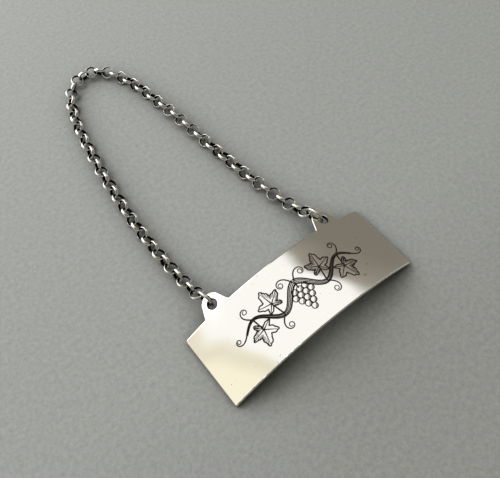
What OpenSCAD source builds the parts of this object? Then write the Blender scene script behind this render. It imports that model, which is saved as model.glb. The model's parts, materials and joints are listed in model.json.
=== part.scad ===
// Silver wine label: a curved plate that hangs on a bottle's neck by a belcher chain.
// It lies face up on a table, with the chain laid out in a loop beyond its ears.
// X runs along the plate, Y from its lower edge to its ears, and Z is up from the table.
// The origin is on the table, under the middle of the plate.

/* [Plate] */
// Length of the plate, straight across from end to end
plate_w = 50; // [40:0.5:60]
// Height of the plate, without its ears
plate_h = 18; // [14:0.5:24]
// Thickness of the silver sheet
plate_t = 0.9; // [0.6:0.05:1.2]
// Radius of the face's bend, which follows a bottle's shoulder
bend_r = 50; // [40:1:90]
// Radius of the plate's four corners
corner_r = 0.5; // [0.2:0.1:2]

/* [Ears] */
// Distance between the centres of the two ear holes
hole_span = 31.6; // [24:0.2:34]
// Diameter of the ear holes
hole_d = 2.2; // [1.8:0.1:2.8]
// Height of the hole centres above the plate's upper edge
hole_rise = 1.45; // [1:0.05:2.5]
// Width of the metal left around each hole
ear_rim = 1.45; // [1:0.05:1.8]
// Width of each ear where it meets the plate
ear_foot = 6.8; // [5.5:0.1:9]

/* [Jump rings] */
// Diameter of the rings' round wire
ring_wire = 0.7; // [0.4:0.05:0.8]
// Inside diameter of the rings
ring_bore = 3.6; // [3.4:0.1:4.4]
// Play between a ring and the ear's rim
ring_play = 0.26; // [0.2:0.02:0.4]
// Angle below level at which a ring hangs from the rim
ring_hang = 40; // [20:1:60]
// Angle below level of the line from a ring to its first link
ring_slope = 20; // [5:1:30]
// Angle by which both rings lean to the left
ring_lean = 11; // [0:1:14]

/* [Chain links] */
// Outside diameter of a link
link_d = 3.45; // [3:0.05:3.8]
// Width of the band wire that the links are made of
link_w = 0.85; // [0.6:0.05:0.85]
// Thickness of the band wire
link_t = 0.42; // [0.38:0.01:0.46]
// Radius of the wire's half-round outer side
crown_out = 0.55; // [0.5:0.05:1]
// Radius of the wire's worn inner side
crown_in = 0.6; // [0.5:0.05:0.8]
// Play between two links along the chain
link_play = 0.18; // [0.14:0.01:0.26]

/* [Chain loop] */
// Mean angle by which the links are rolled about the chain where it lies on the table
link_roll = 36; // [30:1:60]
// Angle by which that roll comes and goes along the chain
roll_sway = 18; // [0:1:20]
// Number of times it does so between the first link on the table and the crest
roll_waves = 2; // [1:1:3]
// Links on each side of the crest link
link_pairs = 33; // [21:1:41]
// Length of chain in which the crest straightens to two thirds
crest_ease = 6.7; // [5:0.1:9]
// Angle by which each strand bows outwards on its way from the crest to its ear
strand_bow = 5.8; // [0:0.2:12]
// Sideways shift of the loop's middle line near the ears
drift_near = -5.2; // [-6:0.1:2]
// Sideways shift of the crest
drift_crest = -2.3; // [-4:0.1:2]

/* [Hidden] */
$fn = 48;
polished = [0.86, 0.85, 0.81];
wire_silver = [0.8, 0.79, 0.76];
oxidised = [0.42, 0.41, 0.4];

// Bend: the two ends of the plate's back stand on the table
back_r = bend_r - plate_t;
middle_r = bend_r - plate_t / 2;
bend_z = -sqrt(back_r * back_r - plate_w * plate_w / 4);
past = 1;

// Ears: a round eye on a foot with straight sides that run into it
hole_x = hole_span / 2;
hole_y = plate_h / 2 + hole_rise;
eye_r = hole_d / 2 + ear_rim;
hole_z = bend_z + sqrt(middle_r * middle_r - hole_x * hole_x);
hole_tilt = asin(hole_x / middle_r);

// Rings: each one hangs round the rim between its hole and the ear's edge
rim_out = (hole_d + ear_rim) / 2;
rim_reach = norm([ear_rim, plate_t]) / 2;
ring_r = (ring_bore + ring_wire) / 2;
ring_drop = ring_bore / 2 - rim_reach - ring_play;
ring_out = rim_out + ring_drop * cos(ring_hang);
ring_z = hole_z - ring_drop * sin(ring_hang);
first_step = ring_r + link_d / 2 - link_t - ring_wire / 2 - link_play;
first_out = ring_out + first_step * cos(ring_slope);

// Chain: each link is square to the next one. The first one is flat and the second nearly upright.
// From there the links roll to and fro about the chain, as in a chain that was laid down by hand.
// The chain turns where two links hold each other, and comes down to the table over the first four.
pitch = link_d - 2 * link_t - link_play;
first_y = hole_y + first_out * cos(ring_lean);
first_z = ring_z - first_step * sin(ring_slope);
later_fall = asin((first_z - pitch * sin(ring_slope) - rest_z(4)) / (2 * pitch));

// Depth of a link below its centre, when it leans at this angle to the table
function lean_reach(angle) =
    crown_out * cos(angle) < link_w / 2 ? (link_d / 2 - crown_out) * sin(angle) + crown_out
    : (link_d / 2 - crown_out + sqrt(crown_out * crown_out - link_w * link_w / 4)) * sin(angle)
        + link_w / 2 * cos(angle);
// Roll of the chain at a link, and the angle at which the link stands. Odd and even links are square
// to each other.
function chain_roll(n) =
    min(1, (n - 1) / 3) * (link_roll - roll_sway * cos(360 * roll_waves * (n - 4) / (link_pairs - 3)));
function roll(n) = chain_roll(n) + (n % 2 == 0 ? 90 : 0);
// Height of the chain where its steeper links stand on the table
function rest_z(n) = lean_reach(max(chain_roll(n), 90 - chain_roll(n)));
// Angle below level of the step from a link to the next one
function fall(n) = n == 1 ? ring_slope : n < 4 ? later_fall : 0;
function link_z(n) =
    n == 1 ? first_z : n < 4 ? rest_z(4) + (4 - n) * pitch * sin(later_fall) : rest_z(n);
// Length over the table of a link's step towards the crest. Links are counted here from the crest.
function step_length(k) = pitch * cos(fall(link_pairs + 1 - k));
// Angle between a link and the crest link
function turn(k, splay) =
    splay * (1 - exp(-pitch * k / crest_ease)) + strand_bow * k / link_pairs;
function step_sides(splay) =
    [for (k = [1:link_pairs]) step_length(k) * (cos(turn(k - 1, splay)) + cos(turn(k, splay))) / 2];
function sum_to(list, last) = last < 1 ? 0 : list[last - 1] + sum_to(list, last - 1);
// Splay at which both strands end abreast of their ear holes
function fitted_splay(low, high, tries) =
    let (middle = (low + high) / 2)
    tries == 0 ? middle
    : sum_to(step_sides(middle), link_pairs) > hole_x ? fitted_splay(middle, high, tries - 1)
    : fitted_splay(low, middle, tries - 1);

splay = fitted_splay(45, 120, 40);
sides = step_sides(splay);
ups = [for (k = [1:link_pairs]) step_length(k) * (sin(turn(k - 1, splay)) + sin(turn(k, splay))) / 2];
all_ups = sum_to(ups, link_pairs);

// Middle line of the loop, a curve with these four controls: 0 is at the ears and 1 at the crest
drift_ends = [-first_out * sin(ring_lean), drift_near, drift_crest, drift_crest];
function drift(u) =
    drift_ends * [pow(1 - u, 3), 3 * u * pow(1 - u, 2), 3 * u * u * (1 - u), pow(u, 3)];

// Centre of a link on the left (-1) or right (+1) by its pair's number, counted from the rings.
// Number 0 is where the ring holds the first link.
function link_at(n, side) =
    let (k = link_pairs + 1 - n)
    n < 1 ? ring_at(side) + ring_r * ring_way
    : [drift(1 - k / link_pairs) + side * sum_to(sides, k), first_y + all_ups - sum_to(ups, k), link_z(n)];

// Way from a ring's centre to its first link, and the centre itself
ring_way = [-sin(ring_lean) * cos(ring_slope), cos(ring_lean) * cos(ring_slope), -sin(ring_slope)];
function ring_at(side) =
    [side * hole_x - ring_out * sin(ring_lean), hole_y + ring_out * cos(ring_lean), ring_z];

function pair_name(n) = str("link_pair_", n < 10 ? "0" : "", n);

// A rectangle with round corners, centred
module rounded_rectangle(w, h, r) {
    square([w - 2 * r, h], center = true);
    square([w, h - 2 * r], center = true);
    for (x = [-1, 1], y = [-1, 1])
        translate([x * (w / 2 - r), y * (h / 2 - r)]) circle(r);
}

// One ear, with the hole's centre at the origin. Its sides run just inside the eye's tangents.
module ear_outline() {
    foot = [ear_foot / 2, -hole_rise];
    turn = atan2(foot.y, foot.x) + acos(eye_r / norm(foot));
    touch = 0.99 * eye_r * [cos(turn), sin(turn)];
    circle(eye_r);
    polygon([[-foot.x, foot.y - past], [foot.x, foot.y - past], foot,
        touch, [-touch.x, touch.y], [-foot.x, foot.y]]);
}

module plate_outline() {
    rounded_rectangle(plate_w, plate_h, corner_r);
    for (side = [-1, 1])
        translate([side * hole_x, hole_y]) ear_outline();
}

// The bent sheet before it is cut, longer than the plate and its ears
module bent_sheet() {
    sheet_h = plate_h + hole_rise + eye_r + 2 * past;
    translate([0, -plate_h / 2 - past, bend_z]) rotate([-90, 0, 0]) difference() {
        cylinder(r = bend_r, h = sheet_h, $fn = 180);
        translate([0, 0, -past]) cylinder(r = back_r, h = sheet_h + 2 * past, $fn = 180);
    }
}

module plate() {
    color(polished) difference() {
        intersection() {
            bent_sheet();
            translate([0, 0, -past]) linear_extrude(bend_r) plate_outline();
        }
        for (side = [-1, 1])
            translate([0, hole_y, bend_z]) rotate([0, side * hole_tilt, 0])
                cylinder(d = hole_d, h = bend_r + past);
    }
}

// One jump ring round its own axis
module round_ring() {
    rotate_extrude() translate([ring_r, 0]) circle(d = ring_wire);
}

module jump_ring(side) {
    color(wire_silver) translate(ring_at(side)) rotate([0, 0, ring_lean]) rotate([0, 90, 0]) round_ring();
}

// One link round its own axis: half-round band wire, a little worn inside
module belcher_link() {
    rotate_extrude() intersection() {
        translate([link_d / 2 - crown_out, 0]) circle(crown_out);
        translate([link_d / 2 - link_t + crown_in, 0]) circle(crown_in);
        translate([0, -link_w / 2]) square([link_d, link_w]);
    }
}

// A link at a point of the chain, in line with the chain there and rolled about it
module chain_link(at, way, turn) {
    heading = atan2(way.y, way.x);
    climb = asin(way.z / norm(way));
    color(oxidised) translate(at) rotate([0, -climb, heading]) rotate([turn, 0, 0])
        belcher_link();
}

// The left and right links at the same distance along the chain, rolled as mirror images
module link_pair(n) {
    for (side = [-1, 1])
        chain_link(link_at(n, side), link_at(n + 1, side) - link_at(n - 1, side), -side * roll(n));
}

module crest_link() {
    chain_link(link_at(link_pairs + 1, 1), link_at(link_pairs, 1) - link_at(link_pairs, -1),
        roll(link_pairs + 1));
}

plate();
jump_ring(-1);  // left_jump_ring
jump_ring(1);  // right_jump_ring
for (n = [1:link_pairs])
    link_pair(n);
crest_link();
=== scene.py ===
import json
import math
import random

import bmesh
import bpy
import numpy as np
from mathutils import Matrix, Vector


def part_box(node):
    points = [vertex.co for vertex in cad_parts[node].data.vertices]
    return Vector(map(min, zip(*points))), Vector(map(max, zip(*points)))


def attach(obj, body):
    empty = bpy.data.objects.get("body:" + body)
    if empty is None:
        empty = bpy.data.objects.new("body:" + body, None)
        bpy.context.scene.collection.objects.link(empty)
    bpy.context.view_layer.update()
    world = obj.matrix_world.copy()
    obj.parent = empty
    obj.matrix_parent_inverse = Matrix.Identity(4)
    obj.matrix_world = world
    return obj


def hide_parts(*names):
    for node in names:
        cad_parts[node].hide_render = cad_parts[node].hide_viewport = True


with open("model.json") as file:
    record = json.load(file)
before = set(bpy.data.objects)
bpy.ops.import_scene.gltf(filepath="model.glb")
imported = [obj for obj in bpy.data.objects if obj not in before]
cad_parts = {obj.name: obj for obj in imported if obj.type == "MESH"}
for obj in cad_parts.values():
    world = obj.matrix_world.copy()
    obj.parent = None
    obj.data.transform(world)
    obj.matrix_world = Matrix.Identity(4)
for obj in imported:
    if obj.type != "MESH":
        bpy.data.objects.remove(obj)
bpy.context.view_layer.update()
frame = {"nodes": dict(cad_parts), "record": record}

nodes = frame["nodes"]
chance = random.Random(7)
MM = 0.001
FULL_TURN = 2 * math.pi

# Points are one when they are closer than this, in a new mesh, in a spun one and in a CAD node's triangles
WELD = 0.0005 * MM
SPUN_WELD = 0.001 * MM
CAD_WELD = 0.002 * MM

# Plate: least upward part of a normal of its face, and how near a point of its face or back is to the bend
FACING = 0.5
ON_BEND = 0.001 * MM
# Its filed edges' roundness and the steps of that round, and the strips that its bend is made of
EDGE_ROUND = 0.28 * MM
EDGE_STEPS = 4
STRIP = 0.5 * MM
# How far round a hole's centre the wall leans with the hole, and the part of its depth that is darkened,
# partly tarnish and partly painted shade
HOLE_LEAN = (1.4 * MM, 2.2 * MM)
HOLE_DARK = (0.02, 0.98)

# Links: the wire's outer and inner crowns, the points across each one, and the steps of a turn
CROWN_OUT = 0.55 * MM
CROWN_IN = 0.6 * MM
CROWN_POINTS = 9
LINK_STEPS = 44
# How far their tarnish is rubbed off outside, how much less inside, where the black is partly oxide and
# partly painted shade, and how links differ in it
RUBBED_OUT = 1.15
OXIDE_AND_SHADE_INSIDE = 1.6
RUBBED_RANGE = (-0.12, 0.1)
# A node that is narrower than this holds one solid, and a link's flat sides face along its axis this much
PAIR_WIDTH = 5 * MM
FLAT_SIDE = 0.985

# Rings: the steps of a turn, the points round the wire, and the gap where the wire's two ends meet
RING_STEPS = 64
WIRE_POINTS = 16
RING_GAP = 0.06 * MM

# Engraved vine, in millimetres of the plate's plan: half its length, the rise of its stem, the part of the
# rise that is lost at its end, and the stem's half waves
VINE_HALF = 14.6
VINE_RISE = 2.2
RISE_LOST = 0.3
HALF_WAVES = 2.5
# The stem's cuts as (distance from its middle, width), and the parts of both that are left at its end
STEM_CUTS = ((-0.62, 0.42), (-0.2, 0.24), (0.16, 0.24), (0.54, 0.36))
STEM_END_DISTANCE = 0.25
STEM_END_WIDTH = 0.6
# Leaves as (heart, heading, place of the stalk on the stem), and their size
LEAVES = (((6.6, 1.6), 80, 0.4), ((11.2, -1.5), -75, 0.8))
LEAF_SIZE = 3.3
# A leaf's lobes as (angle, reach, breadth), how hollow their sides are, and the teeth of the leaf's edge
LOBES = ((-2.25, 0.72, 0.6), (-1.15, 0.95, 0.75), (0, 1.1, 0.8), (1.15, 0.95, 0.75), (2.25, 0.72, 0.6))
LOBE_HOLLOW = 1.25
TEETH = 19
TOOTH_DEPTH = 0.05
# How far a leaf's veins reach to its edge, and its shading cuts: angles, their number, and their reach
VEIN_REACH = 0.9
SHADING_ANGLES = (0.1, 2.6)
SHADING_CUTS = 18
SHADING_REACH = (0.55, 0.96)
# Tendrils as (place on the stem, heading, length, turn), one that starts over the grapes, and their curl
TENDRILS = ((1, -38, 6.5, 560), (0.4, -40, 8, -540), (0.8, 40, 7.5, 540))
TOP_TENDRIL = ((0.2, VINE_RISE), 65, 9, -600)
TENDRIL_STEPS = 60
TENDRIL_CURL = 2.2
# Grapes: their radius, rows, steps across and down in radii, and arcs as (part of radius, from, to, width)
GRAPE_R = 0.68
GRAPE_ROWS = (3, 4, 3, 2, 1)
GRAPE_ACROSS = 2.04
GRAPE_DOWN = 1.76
GRAPE_ARCS = ((1, 0, 360, 0.22), (0.7, -110, 30, 0.14), (0.4, -100, 20, 0.12))
BUNCH_TOP = 0.4 * VINE_RISE - GRAPE_R
BUNCH_STALK = ((0, VINE_RISE), (0, 0.5))
# Widths of the other cuts, where they start and where they end
TENDRIL_CUT = (0.34, 0.18)
LEAF_CUT = (0.3, 0.3)
VEIN_CUT = (0.28, 0.13)
SHADING_CUT = (0.1, 0.18)
LEAF_STALK_CUT = (0.38, 0.28)
BUNCH_STALK_CUT = (0.4, 0.3)
# Points of a long cut, of an arc and of a straight cut, and a burr's height as a part of its cut's width
LONG_POINTS = 121
ARC_POINTS = 25
STRAIGHT_POINTS = 9
BURR = 0.03

# Room that the silver mirrors: the way across it and its tones from the near left (0) to the far right (1)
ACROSS = (0.4, 1.05, 0)
WALLS = ((0, "#fff9e0"), (0.42, "#fffae4"), (0.49, "#fcf7e2"), (0.52, "#e9e3d0"), (0.535, "#eee9d9"),
         (0.55, "#ffffff"), (0.738, "#ffffff"), (0.755, "#98938a"), (0.8, "#7f7a71"), (1, "#7a766d"))
# Its window, a soft round lamp, in metres and watts, and half the width of the board that the part lies on
WINDOW_AT = Vector((-0.16, 0.4, 0.25))
WINDOW_AIM = Vector((0, 0.03, 0))
WINDOW_WIDTH = 0.6
WINDOW_WATTS = 2.15
FLOOR_HALF = 3

# Camera, solved from the plate's corners and the chain in the photograph, which is 500 pixels wide
CAMERA_AT = Vector((-30.24, -33.47, 117.76)) * MM
CAMERA_TURN = [math.radians(a) for a in (27.474, 4.103, -38.617)]
FOCAL_PIXELS = 561.67
FRAME_PIXELS = 500
SENSOR_WIDTH = 36
NEAREST = 1 * MM

# A Mix node's sockets for two colours and for the mixed one, whose names are not unique
COLOUR_A = 6
COLOUR_B = 7
MIXED = 2


def srgb(text):
    """A hex colour as linear red, green, blue and alpha."""
    parts = [int(text[i:i + 2], 16) / 255 for i in (1, 3, 5)]
    return [p / 12.92 if p <= 0.04045 else ((p + 0.055) / 1.055) ** 2.4 for p in parts] + [1]


def feed(tree, node, inputs):
    """Gives each input of a node its value, or a link where that is another node's socket."""
    for name, value in inputs.items():
        if isinstance(value, bpy.types.NodeSocket):
            tree.links.new(value, node.inputs[name])
        else:
            node.inputs[name].default_value = value


def add(tree, kind, inputs=None, **settings):
    """A new node with its settings, values and links."""
    node = tree.nodes.new(kind)
    for name, value in settings.items():
        setattr(node, name, value)
    feed(tree, node, inputs or {})
    return node


def new_material(name):
    """An empty material, its tree, its shader and the place on the piece."""
    material = bpy.data.materials.new(name)
    material.use_nodes = True
    tree = material.node_tree
    place = add(tree, "ShaderNodeTexCoord").outputs["Object"]
    return material, tree, tree.nodes["Principled BSDF"], place


def polished_sterling_silver():
    # Hand-polished sheet: a bright warm mirror, gently uneven from bending, softened by fine rubbing marks
    # and a few tarnish specks; the walls of its holes are darkened, partly tarnish and partly painted shade
    patch_width = 7 * MM
    speck_width = 0.9 * MM
    wave_width = 9 * MM
    wave_height = 0.16 * MM
    mark_length = 2.2 * MM
    mark_depth = 0.02 * MM
    mark_turn = math.radians(24)
    marks_per_length = 14
    material, tree, shader, place = new_material("polished sterling silver")
    patches = add(tree, "ShaderNodeTexNoise",
                  {"Vector": place, "Scale": 1 / patch_width, "Detail": 3.0, "Roughness": 0.6})
    softness = add(tree, "ShaderNodeMapRange",
                   {"Value": patches.outputs["Fac"], "To Min": 0.03, "To Max": 0.1})
    specks = add(tree, "ShaderNodeTexNoise", {"Vector": place, "Scale": 1 / speck_width, "Detail": 2.0})
    spots = add(tree, "ShaderNodeMapRange",
                {"Value": specks.outputs["Fac"], "From Min": 0.7, "From Max": 0.76, "To Max": 0.55})
    silver = add(tree, "ShaderNodeMix",
                 {"Factor": spots.outputs["Result"], COLOUR_A: srgb("#eeece5"), COLOUR_B: srgb("#8f8677")},
                 data_type="RGBA")
    # Hole walls are mixed to brown-black: partly tarnish, partly painted shade
    tarnish_and_shade = add(tree, "ShaderNodeAttribute", attribute_name="tarnish_and_shade")
    colour = add(tree, "ShaderNodeMix",
                 {"Factor": tarnish_and_shade.outputs["Fac"], COLOUR_A: silver.outputs[MIXED],
                  COLOUR_B: srgb("#2b2620")}, data_type="RGBA")
    turned = add(tree, "ShaderNodeMapping",
                 {"Vector": place, "Rotation": (0, 0, mark_turn), "Scale": (1, marks_per_length, 1)})
    marks = add(tree, "ShaderNodeTexNoise",
                {"Vector": turned.outputs["Vector"], "Scale": 1 / mark_length, "Detail": 5.0})
    waves = add(tree, "ShaderNodeTexNoise", {"Vector": place, "Scale": 1 / wave_width, "Detail": 0.0})
    uneven = add(tree, "ShaderNodeBump",
                 {"Height": waves.outputs["Fac"], "Strength": 1.0, "Distance": wave_height})
    rubbed = add(tree, "ShaderNodeBump",
                 {"Height": marks.outputs["Fac"], "Normal": uneven.outputs["Normal"],
                  "Strength": 0.03, "Distance": mark_depth})
    feed(tree, shader, {"Base Color": colour.outputs[MIXED], "Roughness": softness.outputs["Result"],
                        "Normal": rubbed.outputs["Normal"], "Metallic": 1})
    return material


def drawn_silver_wire():
    # Drawn round wire: smooth and bright outside, a little grey in places, and black inside the ring,
    # partly tarnish and partly painted shade
    patch_width = 1.2 * MM
    material, tree, shader, place = new_material("drawn silver wire")
    patches = add(tree, "ShaderNodeTexNoise", {"Vector": place, "Scale": 1 / patch_width, "Detail": 3.0})
    bright = add(tree, "ShaderNodeMix",
                 {"Factor": patches.outputs["Fac"], COLOUR_A: srgb("#f0ede6"), COLOUR_B: srgb("#c4beb4")},
                 data_type="RGBA")
    rubbed = add(tree, "ShaderNodeAttribute", attribute_name="rubbed")
    bare_and_lit = add(tree, "ShaderNodeMapRange",
               {"Value": rubbed.outputs["Fac"], "From Min": 0.3, "From Max": 0.6})
    # Black inside the ring: partly tarnish, partly painted shade
    colour = add(tree, "ShaderNodeMix",
                 {"Factor": bare_and_lit.outputs["Result"], COLOUR_A: srgb("#14110f"),
                  COLOUR_B: bright.outputs[MIXED]}, data_type="RGBA")
    feed(tree, shader, {"Base Color": colour.outputs[MIXED], "Metallic": 1, "Roughness": 0.2})
    return material


def oxidised_and_shaded_silver():
    # Tarnished chain: black sulphide and painted shade in the recesses, rubbed back to grey and bright
    # metal outside
    patch_width = 0.8 * MM
    material, tree, shader, place = new_material("oxidised and shaded silver")
    rubbed = add(tree, "ShaderNodeAttribute", attribute_name="rubbed")
    patches = add(tree, "ShaderNodeTexNoise",
                  {"Vector": place, "Scale": 1 / patch_width, "Detail": 4.0, "Roughness": 0.6})
    uneven = add(tree, "ShaderNodeMapRange",
                 {"Value": patches.outputs["Fac"], "From Min": 0.3, "From Max": 0.7,
                  "To Min": -0.22, "To Max": 0.22})
    bare_and_lit = add(tree, "ShaderNodeMath", {0: rubbed.outputs["Fac"], 1: uneven.outputs["Result"]},
               operation="ADD", use_clamp=True)
    # Black at the low end: oxide and painted shade inside the links
    colour = add(tree, "ShaderNodeValToRGB", {"Fac": bare_and_lit.outputs["Value"]})
    tones = colour.color_ramp.elements
    tones[0].color = srgb("#0d0b0a")
    tones[0].position = 0.3
    tones[1].color = srgb("#e8e7e3")
    tones[1].position = 0.8
    tones.new(0.55).color = srgb("#57534d")
    softness = add(tree, "ShaderNodeMapRange",
                   {"Value": bare_and_lit.outputs["Value"], "To Min": 0.45, "To Max": 0.14})
    feed(tree, shader, {"Base Color": colour.outputs["Color"], "Roughness": softness.outputs["Result"],
                        "Metallic": 1})
    return material


def blackened_cut():
    # Engraved lines: cuts with years of polish and tarnish left in them, so dull, black and in places brown
    patch_width = 0.7 * MM
    material, tree, shader, place = new_material("blackened engraving")
    patches = add(tree, "ShaderNodeTexNoise", {"Vector": place, "Scale": 1 / patch_width, "Detail": 4.0})
    dirt = add(tree, "ShaderNodeMapRange",
               {"Value": patches.outputs["Fac"], "From Min": 0.35, "From Max": 0.7})
    colour = add(tree, "ShaderNodeMix",
                 {"Factor": dirt.outputs["Result"], COLOUR_A: srgb("#141110"), COLOUR_B: srgb("#3d352d")},
                 data_type="RGBA")
    feed(tree, shader, {"Base Color": colour.outputs[MIXED], "Roughness": 0.8, "Specular IOR Level": 0.1})
    return material


def pale_grey_board():
    # Matt grained board under the object: pale grey, mottled by its fibres, with painted shade that dims it
    # towards the front and a painted contact shadow close under what lies on it
    fibre_width = 1.1 * MM
    shadow_reach = 8 * MM
    shadow_power = 1.5
    front = -30 * MM
    back = 5 * MM
    material, tree, shader, place = new_material("pale grey board")
    fibres = add(tree, "ShaderNodeTexNoise",
                 {"Vector": place, "Scale": 1 / fibre_width, "Detail": 3.0, "Roughness": 0.85})
    mottled = add(tree, "ShaderNodeMix",
                  {"Factor": fibres.outputs["Fac"], COLOUR_A: srgb("#868988"), COLOUR_B: srgb("#c2c5c4")},
                  data_type="RGBA")
    # Painted contact shadow: the board is darkened close under what lies on it
    contact_shadow = add(tree, "ShaderNodeAmbientOcclusion", {"Distance": shadow_reach}, samples=8)
    open_sky = add(tree, "ShaderNodeMath", {0: contact_shadow.outputs["AO"], 1: shadow_power}, operation="POWER")
    # Painted shade: the board is dimmer towards the front
    depth = add(tree, "ShaderNodeSeparateXYZ", {"Vector": place})
    painted_dimming = add(tree, "ShaderNodeMapRange",
                 {"Value": depth.outputs["Y"], "From Min": front, "From Max": back, "To Min": 0.88})
    lit = add(tree, "ShaderNodeMath", {0: open_sky.outputs["Value"], 1: painted_dimming.outputs["Result"]},
              operation="MULTIPLY")
    # The dark colour is the painted shadow's colour
    colour = add(tree, "ShaderNodeMix",
                 {"Factor": lit.outputs["Value"], COLOUR_A: srgb("#1d1a18"),
                  COLOUR_B: mottled.outputs[MIXED]}, data_type="RGBA")
    feed(tree, shader, {"Base Color": colour.outputs[MIXED], "Roughness": 0.85})
    return material


def finished(bm, name, material, body=None, stands_for=()):
    """The bmesh as a smooth object that moves with its body."""
    for face in bm.faces:
        face.smooth = True
    mesh = bpy.data.meshes.new(name)
    bm.to_mesh(mesh)
    bm.free()
    mesh.materials.append(material)
    piece = bpy.data.objects.new(name, mesh)
    bpy.context.scene.collection.objects.link(piece)
    if body:
        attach(piece, body)
    if stands_for:
        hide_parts(*stands_for)
    return piece


def body_with(node):
    """The name of the body that a CAD node belongs to."""
    bodies = frame["record"]["behaviour"]["bodies"]
    return next(name for name, members in bodies.items() if node in members)


def bend_of(way):
    """Height of the axis and radius of the plate's face (1) or back (-1), from the CAD node."""
    mesh = nodes["plate"].data
    corners = {i for p in mesh.polygons if way * p.normal.z > FACING for i in p.vertices}
    x, z = np.array([mesh.vertices[i].co.xz for i in corners]).T
    height, rest = np.linalg.lstsq(np.c_[2 * z, np.ones(len(z))], x * x + z * z, rcond=None)[0]
    return height, math.sqrt(rest + height ** 2)


bends = {way: bend_of(way) for way in (1, -1)}


def face_z(x, way=1):
    """Height of the plate's face, or of its back."""
    height, radius = bends[way]
    return height + math.sqrt(radius ** 2 - x ** 2)


def face_rims():
    """The closed rims of the plate's face in plan, from the CAD node: its outline and its holes."""
    bm = bmesh.new()
    bm.from_mesh(nodes["plate"].data)
    bmesh.ops.remove_doubles(bm, verts=bm.verts, dist=CAD_WELD)
    bm.normal_update()
    edges = {e for e in bm.edges if sum(f.normal.z > FACING for f in e.link_faces) == 1}
    rims = []
    while edges:
        edge = edges.pop()
        start, last = edge.verts
        rim = [start.co.xy]
        while last != start:
            rim.append(last.co.xy)
            edge = next(e for e in last.link_edges if e in edges)
            edges.discard(edge)
            last = edge.other_vert(last)
        rims.append(rim)
    bm.free()
    return sorted(rims, key=len, reverse=True)


def mesh_of(curve):
    """The curve's own mesh, in a new bmesh."""
    drawn = bpy.data.objects.new(curve.name, curve)
    bpy.context.scene.collection.objects.link(drawn)
    bm = bmesh.new()
    bm.from_mesh(drawn.to_mesh())
    drawn.to_mesh_clear()
    bpy.data.objects.remove(drawn)
    return bm


def flat_plate(rims, thickness):
    """The plate before it is bent, with its edges rounded. A curve fills best in millimetres."""
    curve = bpy.data.curves.new("plate_outline", "CURVE")
    curve.dimensions = "2D"
    curve.fill_mode = "BOTH"
    curve.extrude = (thickness / 2 - EDGE_ROUND) / MM
    curve.bevel_depth = EDGE_ROUND / MM
    curve.bevel_resolution = EDGE_STEPS
    curve.offset = -EDGE_ROUND / MM
    for rim in rims:
        spline = curve.splines.new("POLY")
        spline.points.add(len(rim) - 1)
        for point, place in zip(spline.points, rim):
            point.co = (*(place / MM), 0, 1)
        spline.use_cyclic_u = True
    bm = mesh_of(curve)
    bmesh.ops.scale(bm, vec=(MM, MM, MM), verts=bm.verts)
    bmesh.ops.remove_doubles(bm, verts=bm.verts, dist=WELD)
    return bm


def cut_into_strips(bm):
    """Cuts the flat plate across, so that it can bend."""
    low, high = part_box("plate")
    for x in np.arange(low[0], high[0], STRIP)[1:]:
        everything = bm.verts[:] + bm.edges[:] + bm.faces[:]
        bmesh.ops.bisect_plane(bm, geom=everything, dist=WELD, plane_co=(x, 0, 0), plane_no=(1, 0, 0))


def bent_plate(material):
    """The plate with its rounded edges, laid on the bend of the CAD node. Its outer walls stay upright, and
    the walls of its holes are square to the face and darkened, partly tarnish and partly painted shade."""
    (axis_z, radius), (_, back_radius) = bends[1], bends[-1]
    thickness = radius - back_radius
    rims = face_rims()
    holes = [sum(rim, Vector((0, 0))) / len(rim) for rim in rims[1:]]
    bm = flat_plate(rims, thickness)
    cut_into_strips(bm)
    tarnish_and_shade = bm.verts.layers.float.new("tarnish_and_shade")
    for vert in bm.verts:
        x, y, z = vert.co
        depth = 0.5 - z / thickness
        upright = Vector((x, y, face_z(x) + depth * (face_z(x, -1) - face_z(x))))
        share = 1 - depth * thickness / radius
        square = Vector((x * share, y, axis_z + (face_z(x) - axis_z) * share))
        from_hole = min((vert.co.xy - hole).length for hole in holes)
        lean = np.interp(from_hole, HOLE_LEAN, (1, 0))
        vert.co = upright.lerp(square, lean)
        # A hole's wall is marked dark: partly tarnish, partly painted shade
        vert[tarnish_and_shade] = lean * (HOLE_DARK[0] < depth < HOLE_DARK[1])
    bmesh.ops.recalc_face_normals(bm, faces=bm.faces)
    plate = finished(bm, "polished_plate", material, "plate", ["plate"])
    normals = []
    for vert in plate.data.vertices:
        out = Vector((vert.co.x, 0, vert.co.z - axis_z))
        on_face = abs(out.length - radius) < ON_BEND
        on_back = abs(out.length - back_radius) < ON_BEND
        normals.append((on_face - on_back) * out.normalized())
    plate.data.normals_split_custom_set_from_vertices(normals)


def spun(profile, steps, gap=0):
    """A closed profile of (radius, height) points spun round Z, up to a gap in radians."""
    bm = bmesh.new()
    ring = [bm.verts.new((r, 0, z)) for r, z in profile]
    edges = [bm.edges.new((a, b)) for a, b in zip(ring, ring[1:] + ring[:1])]
    bmesh.ops.spin(bm, geom=ring + edges, cent=(0, 0, 0), axis=(0, 0, 1), angle=FULL_TURN - gap,
                   steps=steps, use_merge=gap == 0)
    if gap:
        bmesh.ops.holes_fill(bm, edges=[e for e in bm.edges if e.is_boundary], sides=len(profile))
    bmesh.ops.remove_doubles(bm, verts=bm.verts, dist=SPUN_WELD)
    bmesh.ops.recalc_face_normals(bm, faces=bm.faces)
    return bm


def link_profile(outer, inner, width):
    """The half-round band wire's section, as (radius, height) points."""
    heights = np.linspace(-width / 2, width / 2, CROWN_POINTS)
    crown = [(outer - CROWN_OUT + math.sqrt(CROWN_OUT ** 2 - z ** 2), z) for z in heights]
    worn = [(inner + CROWN_IN - math.sqrt(CROWN_IN ** 2 - z ** 2), z) for z in heights[::-1]]
    return crown + worn


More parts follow.
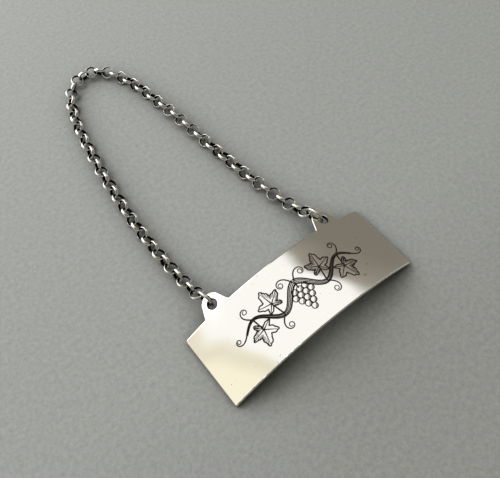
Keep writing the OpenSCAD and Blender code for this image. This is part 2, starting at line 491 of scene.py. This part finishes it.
def wire_profile(ring_r, wire_r):
    """The round wire's section, as (radius, height) points."""
    turn = np.linspace(0, FULL_TURN, WIRE_POINTS, endpoint=False)
    return [(ring_r + wire_r * math.cos(a), wire_r * math.sin(a)) for a in turn]


def solids_of(node):
    """The points and outward normals of each solid in a CAD node, left one first."""
    mesh = nodes[node].data
    corners = np.array([v.co for v in mesh.vertices])
    left, right = corners[:, 0].min(), corners[:, 0].max()
    faces = [(np.array(p.vertices), np.array(p.normal)) for p in mesh.polygons]
    for side in (0,) if right - left < PAIR_WIDTH else (-1, 1):
        chosen = [f for f in faces if side * (corners[f[0][0]][0] - (left + right) / 2) >= 0]
        points = corners[np.unique(np.concatenate([f[0] for f in chosen]))]
        yield points, np.array([f[1] for f in chosen])


def ring_frame(points, normals=None):
    """Centre and axis of a round solid. Its axis is the way that it is thinnest in, and more exactly the
    way that its flat sides face, where the normals are given."""
    centre = (points.min(axis=0) + points.max(axis=0)) / 2
    axis = np.linalg.eigh(np.cov((points - centre).T))[1][:, 0]
    if normals is not None:
        sides = normals[np.abs(normals @ axis) > FLAT_SIDE]
        axis = (sides * np.sign(sides @ axis)[:, None]).mean(axis=0)
    return Vector(centre), Vector(axis / np.linalg.norm(axis))


def ring_sizes(points, centre, axis):
    """Outer radius, inner radius and width of a round solid."""
    offsets = points - np.array(centre)
    along = offsets @ np.array(axis)
    out = np.linalg.norm(offsets - along[:, None] * np.array(axis), axis=1)
    return out.max(), out.min(), 2 * np.abs(along).max()


def set_in_place(bm, verts, centre, axis):
    """Turns and moves points that were made round Z."""
    turn = axis.to_track_quat("Z", "Y").to_matrix().to_4x4()
    bmesh.ops.transform(bm, matrix=Matrix.Translation(centre) @ turn, verts=verts)


def master_link(points, normals):
    """One link round Z, sized from a CAD link, with its rubbed places marked and its inside dark with
    oxide and painted shade.
    """
    outer, inner, width = ring_sizes(points, *ring_frame(points, normals))
    bm = spun(link_profile(outer, inner, width), LINK_STEPS)
    rubbed = bm.verts.layers.float.new("rubbed")
    for vert in bm.verts:
        # Bright outside, dark inside: the dark is partly oxide and partly painted shade
        depth = (outer - vert.co.xy.length) / (outer - inner)
        vert[rubbed] = RUBBED_OUT - OXIDE_AND_SHADE_INSIDE * depth ** 2
    mesh = bpy.data.meshes.new("link")
    bm.to_mesh(mesh)
    bm.free()
    return mesh


def chain_links(node, link, material):
    """The links of one CAD node, each rubbed a little differently."""
    bm = bmesh.new()
    for points, normals in solids_of(node):
        before = len(bm.verts)
        bm.from_mesh(link)
        bm.verts.ensure_lookup_table()
        fresh = bm.verts[before:]
        shade = chance.uniform(*RUBBED_RANGE)
        rubbed = bm.verts.layers.float["rubbed"]
        for vert in fresh:
            vert[rubbed] += shade
        set_in_place(bm, fresh, *ring_frame(points, normals))
    finished(bm, "chain_" + node, material, body_with(node), [node])


def jump_ring(node, material):
    """A ring of round wire whose two ends nearly meet."""
    points, _ = next(solids_of(node))
    centre, axis = ring_frame(points)
    outer, _, width = ring_sizes(points, centre, axis)
    ring_r = outer - width / 2
    bm = spun(wire_profile(ring_r, width / 2), RING_STEPS, RING_GAP / ring_r)
    rubbed = bm.verts.layers.float.new("rubbed")
    # The wire is marked bright outside and dark inside the ring: partly tarnish, partly painted shade
    for vert in bm.verts:
        vert[rubbed] = 0.5 + (vert.co.xy.length - ring_r) / width
    set_in_place(bm, bm.verts, centre, axis)
    finished(bm, "wire_" + node, material, body_with(node), [node])


def stem_point(share):
    """A point of the right half of the stem, from the middle of the plate (0) to its end (1)."""
    rise = VINE_RISE * (1 - RISE_LOST * share)
    return VINE_HALF * share, rise * math.cos(HALF_WAVES * math.pi * share)


def cut(points, start, end):
    """A cut through the points, whose width runs from start to end."""
    return [(x, y, width) for (x, y), width in zip(points, np.linspace(start, end, len(points)))]


def straight(start, end):
    """Points from start to end."""
    shares = np.linspace(0, 1, STRAIGHT_POINTS)
    return [tuple(np.array(start) + share * (np.array(end) - start)) for share in shares]


def arc(centre, radius, first, last):
    """Points round a centre, from the first to the last angle in degrees."""
    turn = np.radians(np.linspace(first, last, ARC_POINTS))
    return [(centre[0] + radius * math.cos(a), centre[1] + radius * math.sin(a)) for a in turn]


def stem_cuts():
    """The stem: broad cuts at its sides and fine ones between them, which close up towards its end."""
    path = np.array([stem_point(s) for s in np.linspace(0, 1, LONG_POINTS)])
    way = np.gradient(path, axis=0)
    side = np.c_[-way[:, 1], way[:, 0]] / np.linalg.norm(way, axis=1)[:, None]
    close = np.linspace(1, STEM_END_DISTANCE, LONG_POINTS)[:, None]
    for distance, width in STEM_CUTS:
        yield cut(path + distance * close * side, width, STEM_END_WIDTH * width)


def tendril(start, heading, length, turn):
    """A cut that leaves the stem nearly straight and curls up tighter and tighter."""
    points = [start]
    step = length / TENDRIL_STEPS
    for i in range(TENDRIL_STEPS):
        way = math.radians(heading + turn * (i / TENDRIL_STEPS) ** TENDRIL_CURL)
        x, y = points[-1]
        points.append((x + step * math.cos(way), y + step * math.sin(way)))
    return cut(points, *TENDRIL_CUT)


def leaf_edge(angle):
    """Distance from a vine leaf's heart to its edge: five pointed lobes and a notch for the stalk."""
    lobes = [reach * math.exp(-abs((angle - at) / breadth) ** LOBE_HOLLOW) for at, reach, breadth in LOBES]
    return max(lobes) * (1 + TOOTH_DEPTH * math.sin(TEETH * angle))


def leaf_cuts(heart, heading, stalk):
    """A vine leaf: its edge, its veins, shading cuts along one half, and its stalk."""
    def at(angle, share=1):
        r = LEAF_SIZE * leaf_edge(angle) * share
        turn = math.radians(heading) + angle
        return heart[0] + r * math.cos(turn), heart[1] + r * math.sin(turn)

    near, far = SHADING_REACH
    yield cut([at(a) for a in np.linspace(-math.pi, math.pi, LONG_POINTS)], *LEAF_CUT)
    for lobe, _, _ in LOBES:
        yield cut(straight(heart, at(lobe, VEIN_REACH)), *VEIN_CUT)
    for angle in np.linspace(*SHADING_ANGLES, SHADING_CUTS):
        yield cut(straight(at(angle, near), at(angle, far)), *SHADING_CUT)
    yield cut(straight(stalk, heart), *LEAF_STALK_CUT)


def half_vine_cuts():
    """The right half of the vine: stem, two leaves and four tendrils."""
    yield from stem_cuts()
    for heart, heading, stalk in LEAVES:
        yield from leaf_cuts(heart, heading, stem_point(stalk))
    for start, heading, length, turn in TENDRILS:
        yield tendril(stem_point(start), heading, length, turn)
    yield tendril(*TOP_TENDRIL)


def grape_cuts():
    """A bunch of grapes that hangs in the middle, each one shaded at its lower right, and its stalk."""
    for row, across in enumerate(GRAPE_ROWS):
        y = BUNCH_TOP - row * GRAPE_DOWN * GRAPE_R
        for i in range(across):
            x = (i - (across - 1) / 2) * GRAPE_ACROSS * GRAPE_R
            for share, first, last, width in GRAPE_ARCS:
                yield cut(arc((x, y), share * GRAPE_R, first, last), width, width)
    yield cut(straight(*BUNCH_STALK), *BUNCH_STALK_CUT)


def engraved_vine(material):
    """The cut lines of both halves and of the grapes between them, as one mesh on the plate's face."""
    curve = bpy.data.curves.new("vine", "CURVE")
    curve.dimensions = "3D"
    # A line is one millimetre wide where a point's radius is 1
    curve.bevel_depth = 0.5
    curve.bevel_resolution = 1
    curve.use_fill_caps = True
    half = list(half_vine_cuts())
    other_half = [[(-x, y, width) for x, y, width in line] for line in half]
    for line in [*half, *other_half, *grape_cuts()]:
        spline = curve.splines.new("POLY")
        spline.points.add(len(line) - 1)
        for point, (x, y, width) in zip(spline.points, line):
            point.co = (x, y, 0, 1)
            point.radius = width
    bm = mesh_of(curve)
    bmesh.ops.scale(bm, vec=(MM, MM, BURR * MM), verts=bm.verts)
    for vert in bm.verts:
        vert.co.z += face_z(vert.co.x)
    finished(bm, "engraved_vine", material, "plate")


def floor(material):
    """The board that the part lies on."""
    bm = bmesh.new()
    bmesh.ops.create_grid(bm, x_segments=1, y_segments=1, size=FLOOR_HALF)
    finished(bm, "floor", material)


def room():
    """A pale room: white overhead, cream towards the near left, a dark wall at the far right and dim
    behind the camera."""
    world = bpy.data.worlds.new("studio")
    bpy.context.scene.world = world
    world.use_nodes = True
    tree = world.node_tree
    way = add(tree, "ShaderNodeTexCoord").outputs["Generated"]
    to_far_right = add(tree, "ShaderNodeVectorMath", {0: way, 1: ACROSS}, operation="DOT_PRODUCT")
    across = add(tree, "ShaderNodeMapRange", {"Value": to_far_right.outputs["Value"], "From Min": -1.0})
    walls = add(tree, "ShaderNodeValToRGB", {"Fac": across.outputs["Result"]})
    tones = walls.color_ramp.elements
    tones[0].color = srgb(WALLS[0][1])
    tones[1].color = srgb(WALLS[-1][1])
    for place, tint in WALLS[1:-1]:
        tones.new(place).color = srgb(tint)
    depth = add(tree, "ShaderNodeSeparateXYZ", {"Vector": way})
    light = add(tree, "ShaderNodeMapRange",
                {"Value": depth.outputs["Y"], "From Min": -0.25, "From Max": 0.1,
                 "To Min": 0.2, "To Max": 1.12})
    feed(tree, tree.nodes["Background"],
         {"Color": walls.outputs["Color"], "Strength": light.outputs["Result"]})


def window():
    """The soft round lamp that throws the shadows."""
    lamp = bpy.data.lights.new("window", "AREA")
    lamp.shape = "DISK"
    lamp.size = WINDOW_WIDTH
    lamp.energy = WINDOW_WATTS
    light = bpy.data.objects.new("window", lamp)
    light.location = WINDOW_AT
    light.rotation_euler = (WINDOW_AIM - WINDOW_AT).to_track_quat("-Z", "Y").to_euler()
    bpy.context.scene.collection.objects.link(light)


def photo_camera():
    """The camera of the photograph."""
    data = bpy.data.cameras.new("camera")
    data.sensor_width = SENSOR_WIDTH
    data.lens = FOCAL_PIXELS / FRAME_PIXELS * SENSOR_WIDTH
    data.clip_start = NEAREST
    camera = bpy.data.objects.new("camera", data)
    camera.location = CAMERA_AT
    camera.rotation_euler = CAMERA_TURN
    bpy.context.scene.collection.objects.link(camera)
    bpy.context.scene.camera = camera


bpy.context.scene.view_settings.view_transform = "Standard"

bent_plate(polished_sterling_silver())
engraved_vine(blackened_cut())
wire = drawn_silver_wire()
for node in ("left_jump_ring", "right_jump_ring"):
    jump_ring(node, wire)
oxidised_and_shaded = oxidised_and_shaded_silver()
link_nodes = [node for node in sorted(nodes) if "link" in node]
link = master_link(*next(solids_of(link_nodes[0])))
for node in link_nodes:
    chain_links(node, link, oxidised_and_shaded)

floor(pale_grey_board())
room()
window()
photo_camera()
